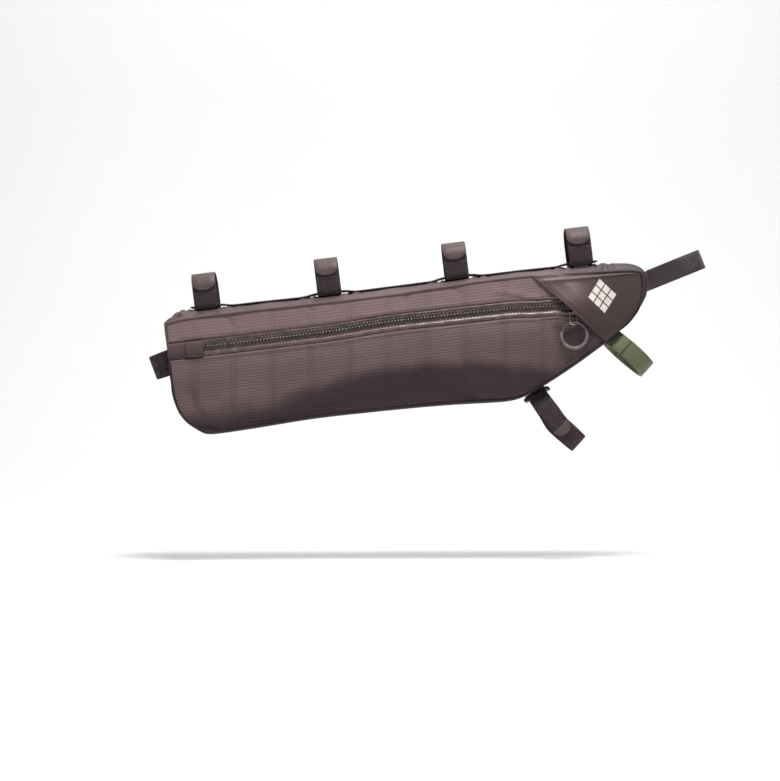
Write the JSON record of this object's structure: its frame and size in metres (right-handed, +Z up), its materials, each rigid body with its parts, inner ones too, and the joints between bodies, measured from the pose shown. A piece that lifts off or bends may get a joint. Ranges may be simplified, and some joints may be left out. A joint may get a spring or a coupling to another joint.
{
  "type": "bicycle frame bag",
  "caption": "Long slim frame bag with a side zip, a coated nose patch and hook-and-loop straps that hang it under a top tube.",
  "frame": {"origin": "on top of the lash webbing at the bag's middle, where the bag hangs", "axes": "+X forward towards the nose, -Y out of the zip side, +Z up; the bag's top line climbs 7 degrees forward"},
  "size_m": [0.5952, 0.066, 0.2407],
  "materials": {
    "ripstop": "ribbed ripstop weave, dark grey-brown",
    "coated_cloth": "smooth coated cloth, satin",
    "zip_black": "coated zip, glossy black",
    "bright_steel": "bright bar",
    "grey_sleeve": "grey sleeve",
    "hook_and_loop": "black loop pile",
    "black_webbing": "dark satin webbing",
    "olive_strap": "olive green webbing"
  },
  "bodies": {
    "root": {"near_panel_upper": "ripstop", "near_panel_lower": "ripstop", "far_panel": "ripstop", "gusset": "coated_cloth", "nose_patch": "coated_cloth", "zip_tape": "zip_black", "zip_chain": "zip_black", "zip_end_tab": "coated_cloth", "zip_slider": "zip_black", "pull_link": "bright_steel", "pull_ring": "grey_sleeve", "lash_webbing": "black_webbing", "top_strap_1": "hook_and_loop", "top_strap_2": "hook_and_loop", "top_strap_3": "hook_and_loop", "top_strap_4": "hook_and_loop", "rear_strap": "hook_and_loop", "nose_strap": "black_webbing", "accent_strap": "olive_strap", "lower_strap": "hook_and_loop", "strap_ring": "bright_steel", "ring_chape": "black_webbing"}
  },
  "joints": []
}
